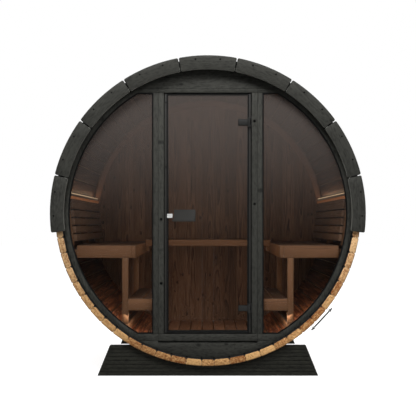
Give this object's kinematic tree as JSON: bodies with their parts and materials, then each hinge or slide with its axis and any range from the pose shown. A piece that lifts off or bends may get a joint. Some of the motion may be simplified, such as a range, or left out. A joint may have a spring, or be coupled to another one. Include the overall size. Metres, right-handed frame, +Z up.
{
  "type": "barrel sauna",
  "caption": "Barrel-shaped timber sauna on two cradles, with a glazed black front, hinged glass door, benches and a dark half roof.",
  "frame": {"origin": "on the ground, below the middle of the barrel", "axes": "+Z up; +X to the right when looking at the front; the front faces -Y and the barrel's axis lies along Y"},
  "size_m": [2.058, 1.55, 2.0978],
  "materials": {
    "stave_wood": "planed, oiled",
    "bench_wood": "planed, heat treated",
    "wall_boards": "planed boards",
    "black_stained_wood": "black stain, satin",
    "tinted_glass": "clear, bronze tint",
    "black_hardware": "satin black",
    "latch_steel": "bright satin",
    "band_steel": "stainless",
    "roof_shingle": "mineral felt",
    "light_profile": "satin with diffuser"
  },
  "bodies": {
    "cabin": {"back_band": "band_steel", "back_bench": "bench_wood", "back_cradle": "black_stained_wood", "back_fascia": "black_stained_wood", "back_wall": "wall_boards", "door_frame": "black_stained_wood", "door_stop": "black_stained_wood", "floor_joists": "bench_wood", "floor_slats": "bench_wood", "frame_hinges": "black_hardware", "front_band": "band_steel", "front_cradle": "black_stained_wood", "front_fascia": "black_stained_wood", "front_mullions": "black_stained_wood", "front_ring_left": "black_stained_wood", "front_ring_right": "black_stained_wood", "front_wall_bottom": "black_stained_wood", "front_wall_top": "black_stained_wood", "left_backrest": "bench_wood", "left_backrest_ribs": "bench_wood", "left_bench_frame": "bench_wood", "left_bench_seat": "bench_wood", "left_light_strip": "light_profile", "left_step": "bench_wood", "left_window": "tinted_glass", "right_backrest": "bench_wood", "right_backrest_ribs": "bench_wood", "right_bench_frame": "bench_wood", "right_bench_seat": "bench_wood", "right_light_strip": "light_profile", "right_step": "bench_wood", "right_window": "tinted_glass", "roof_skin": "roof_shingle", "staves_bottom": "stave_wood", "staves_lower_left": "stave_wood", "staves_lower_right": "stave_wood", "staves_top": "stave_wood", "staves_upper_left": "stave_wood", "staves_upper_right": "stave_wood"},
    "door": {"door_glass": "tinted_glass", "door_hinges": "black_hardware", "door_handle": "black_hardware", "door_latch": "latch_steel"}
  },
  "joints": [
    {"name": "door_hinge", "type": "hinge", "parent": "cabin", "child": "door", "pos_m": [0.2712, -0.714, 0], "axis": [0, 0, 1], "range_deg": [0, 110]}
  ]
}
